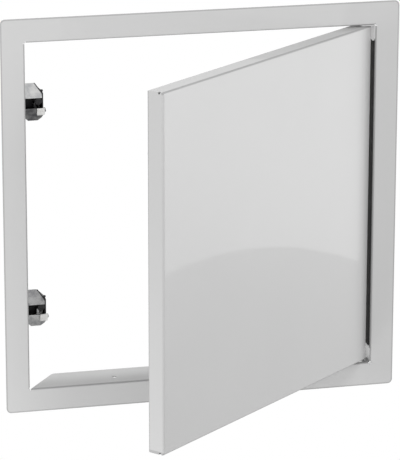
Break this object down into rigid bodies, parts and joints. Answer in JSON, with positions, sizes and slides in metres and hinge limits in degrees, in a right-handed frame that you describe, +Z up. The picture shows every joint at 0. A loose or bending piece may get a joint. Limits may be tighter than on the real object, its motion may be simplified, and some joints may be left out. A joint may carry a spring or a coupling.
{
  "type": "access panel",
  "caption": "Square sheet-steel access panel with a folded face frame, a flush hinged door pan that opens outwards and plated touch latches on the frame wall.",
  "frame": {"origin": "centre of the opening, in the plane of the flange's back face", "axes": "+X right seen from the front, towards the hinge; +Y back into the wall; +Z up along the hinge axis"},
  "size_m": [0.42, 0.2741, 0.42],
  "materials": {
    "paint": "satin powder coat",
    "plated_steel": "bright plated",
    "spring_steel": "oiled",
    "nylon": "matt",
    "foam": "closed-cell foam"
  },
  "bodies": {
    "frame": {"frame": "paint", "hinge_bracket_top": "paint", "hinge_bracket_bottom": "paint", "hinge_pin": "plated_steel", "hinge_washer": "nylon", "hinge_seal": "foam", "upper_latch_case": "plated_steel", "upper_latch_pivots": "plated_steel", "upper_latch_spring": "spring_steel", "upper_latch_rivets": "plated_steel", "lower_latch_case": "plated_steel", "lower_latch_pivots": "plated_steel", "lower_latch_spring": "spring_steel", "lower_latch_rivets": "plated_steel"},
    "door": {"door_panel": "paint", "bolt_guide": "plated_steel", "bolt_spring": "spring_steel", "striker_upper": "plated_steel", "striker_lower": "plated_steel", "striker_rivets": "plated_steel"},
    "hinge_bolt": {"hinge_bolt": "plated_steel", "bolt_clip": "spring_steel"},
    "upper_latch_plunger": {"upper_latch_plunger": "plated_steel", "upper_latch_clip": "spring_steel"},
    "upper_latch_top_jaw": {"upper_latch_top_jaw": "plated_steel"},
    "upper_latch_bottom_jaw": {"upper_latch_bottom_jaw": "plated_steel", "upper_latch_nose": "nylon"},
    "lower_latch_plunger": {"lower_latch_plunger": "plated_steel", "lower_latch_clip": "spring_steel"},
    "lower_latch_top_jaw": {"lower_latch_top_jaw": "plated_steel"},
    "lower_latch_bottom_jaw": {"lower_latch_bottom_jaw": "plated_steel", "lower_latch_nose": "nylon"}
  },
  "joints": [
    {"name": "door_hinge", "type": "hinge", "parent": "frame", "child": "door", "pos_m": [0.1735, 0.0043, 0], "axis": [0, 0, 1], "range_deg": [-40.5, 79.5]},
    {"name": "hinge_bolt_slide", "type": "slide", "parent": "door", "child": "hinge_bolt", "axis": [0, 0, 1], "range_m": [0, 0.006], "stiffness_N_per_m": 400, "springref_m": -0.006, "deforming": ["bolt_spring"]},
    {"name": "upper_latch_plunger_slide", "type": "slide", "parent": "frame", "child": "upper_latch_plunger", "axis": [0, 1, 0], "range_m": [0, 0.002], "stiffness_N_per_m": 800, "springref_m": -0.002, "deforming": ["upper_latch_spring"]},
    {"name": "upper_latch_top_jaw_pivot", "type": "hinge", "parent": "frame", "child": "upper_latch_top_jaw", "pos_m": [-0.1665, 0.0345, 0.126], "axis": [1, 0, 0], "range_deg": [0, 16.38]},
    {"name": "upper_latch_bottom_jaw_pivot", "type": "hinge", "parent": "frame", "child": "upper_latch_bottom_jaw", "pos_m": [-0.1665, 0.0345, 0.106], "axis": [1, 0, 0], "range_deg": [-16.38, 0]},
    {"name": "lower_latch_plunger_slide", "type": "slide", "parent": "frame", "child": "lower_latch_plunger", "axis": [0, 1, 0], "range_m": [0, 0.002], "stiffness_N_per_m": 800, "springref_m": -0.002, "deforming": ["lower_latch_spring"]},
    {"name": "lower_latch_top_jaw_pivot", "type": "hinge", "parent": "frame", "child": "lower_latch_top_jaw", "pos_m": [-0.1665, 0.0345, -0.096], "axis": [1, 0, 0], "range_deg": [0, 16.38]},
    {"name": "lower_latch_bottom_jaw_pivot", "type": "hinge", "parent": "frame", "child": "lower_latch_bottom_jaw", "pos_m": [-0.1665, 0.0345, -0.116], "axis": [1, 0, 0], "range_deg": [-16.38, 0]}
  ],
  "couplings": [
    {"joint": "upper_latch_top_jaw_pivot", "follows": "upper_latch_plunger_slide", "rad_per_m": 142.86},
    {"joint": "upper_latch_bottom_jaw_pivot", "follows": "upper_latch_plunger_slide", "rad_per_m": -142.86},
    {"joint": "lower_latch_top_jaw_pivot", "follows": "lower_latch_plunger_slide", "rad_per_m": 142.86},
    {"joint": "lower_latch_bottom_jaw_pivot", "follows": "lower_latch_plunger_slide", "rad_per_m": -142.86}
  ]
}
